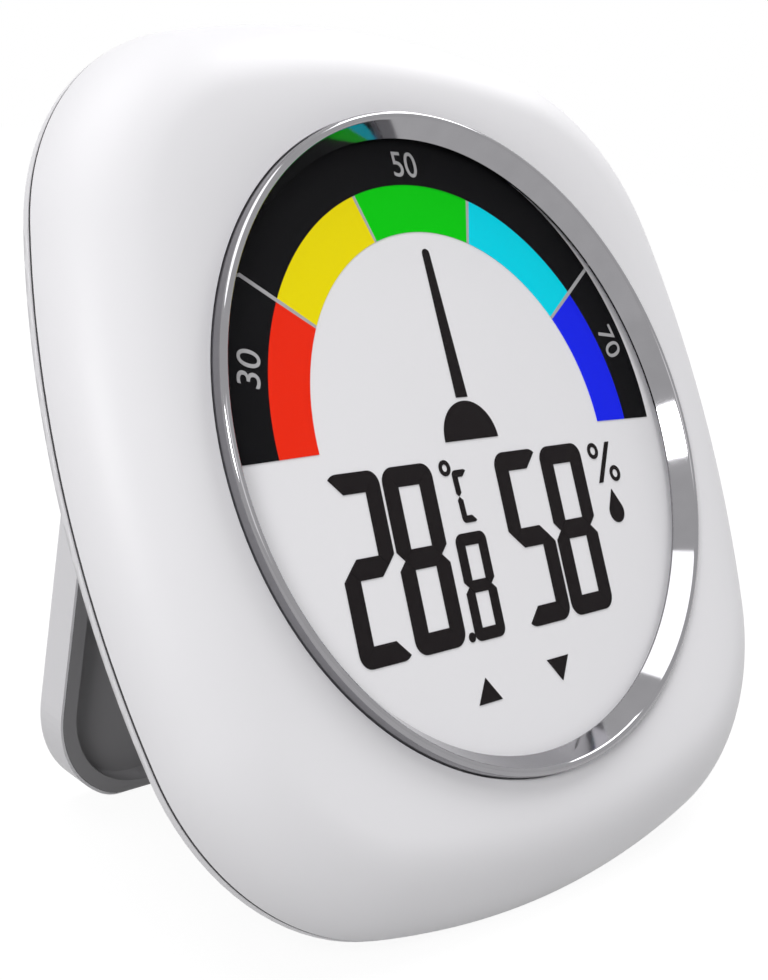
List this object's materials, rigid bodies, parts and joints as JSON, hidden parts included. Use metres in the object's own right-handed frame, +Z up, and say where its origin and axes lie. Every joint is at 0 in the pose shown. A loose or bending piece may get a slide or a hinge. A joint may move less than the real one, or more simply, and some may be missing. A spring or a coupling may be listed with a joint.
{
  "type": "temperature humidity sensor",
  "caption": "Square thermometer and humidity meter with rounded corners, a round framed display with a coloured comfort dial, and a fold-out rear leg.",
  "frame": {"origin": "on the floor under the middle of the object's box, standing on its open leg", "axes": "+X to the viewer's right, +Y to the back, +Z up; the face looks towards -Y and leans back"},
  "size_m": [0.096, 0.0538, 0.0865],
  "materials": {
    "white_abs": "satin moulded",
    "chrome_plate": "bright plated",
    "clear_acrylic": "clear polished",
    "black_print": "printed film",
    "red_print": "printed film",
    "yellow_print": "printed film",
    "green_print": "printed film",
    "cyan_print": "printed film",
    "blue_print": "printed film",
    "lcd_ink": "lit display segments",
    "polariser_film": "satin film",
    "cell_glass": "clear",
    "reflector_film": "pearl film",
    "frame_abs": "moulded",
    "zebra_rubber": "layered",
    "board_laminate": "solder mask",
    "black_resin": "poured",
    "nickel_can": "nickel plated",
    "capacitor_ceramic": "fired",
    "switch_plastic": "moulded",
    "sensor_plastic": "moulded",
    "bead_epoxy": "dipped",
    "zinc_steel": "zinc plated",
    "cell_jacket": "metallised jacket",
    "contact_steel": "nickel plated",
    "red_wire": "insulation",
    "black_wire": "insulation",
    "button_abs": "satin moulded",
    "grey_liner_abs": "moulded"
  },
  "bodies": {
    "housing": {"front_shell": "white_abs", "rear_shell": "white_abs", "bezel_ring": "chrome_plate", "lens": "clear_acrylic", "scale_band": "black_print", "zone_red": "red_print", "zone_yellow": "yellow_print", "zone_green": "green_print", "zone_cyan": "cyan_print", "zone_blue": "blue_print", "lcd_segments": "lcd_ink", "lcd_polariser": "polariser_film", "lcd_front_glass": "cell_glass", "lcd_rear_glass": "cell_glass", "lcd_reflector": "reflector_film", "lcd_frame": "frame_abs", "zebra_strip": "zebra_rubber", "main_board": "board_laminate", "controller_blob": "black_resin", "crystal": "nickel_can", "capacitors": "capacitor_ceramic", "button_switches": "switch_plastic", "humidity_sensor": "sensor_plastic", "thermistor": "bead_epoxy", "board_screws": "zinc_steel", "case_screws": "zinc_steel", "battery_cell": "cell_jacket", "battery_spring": "contact_steel", "battery_plate": "contact_steel", "positive_lead": "red_wire", "negative_lead": "black_wire"},
    "stand": {"stand": "white_abs", "stand_liner": "grey_liner_abs"},
    "battery_door": {"battery_door": "white_abs"},
    "max_min_button": {"max_min_button": "button_abs"},
    "unit_button": {"unit_button": "button_abs"}
  },
  "joints": [
    {"name": "stand_fold", "type": "hinge", "parent": "housing", "child": "stand", "pos_m": [0, 0.01753, 0.0551], "axis": [-1, 0, 0], "range_deg": [0, 32]},
    {"name": "battery_door_slide", "type": "slide", "parent": "housing", "child": "battery_door", "axis": [0, 0.4384, 0.8988], "range_m": [0, 0.007]},
    {"name": "max_min_press", "type": "slide", "parent": "housing", "child": "max_min_button", "axis": [0, -0.8988, 0.4384], "range_m": [0, 0.0005], "stiffness_N_per_m": 400},
    {"name": "unit_press", "type": "slide", "parent": "housing", "child": "unit_button", "axis": [0, -0.8988, 0.4384], "range_m": [0, 0.0005], "stiffness_N_per_m": 400}
  ]
}
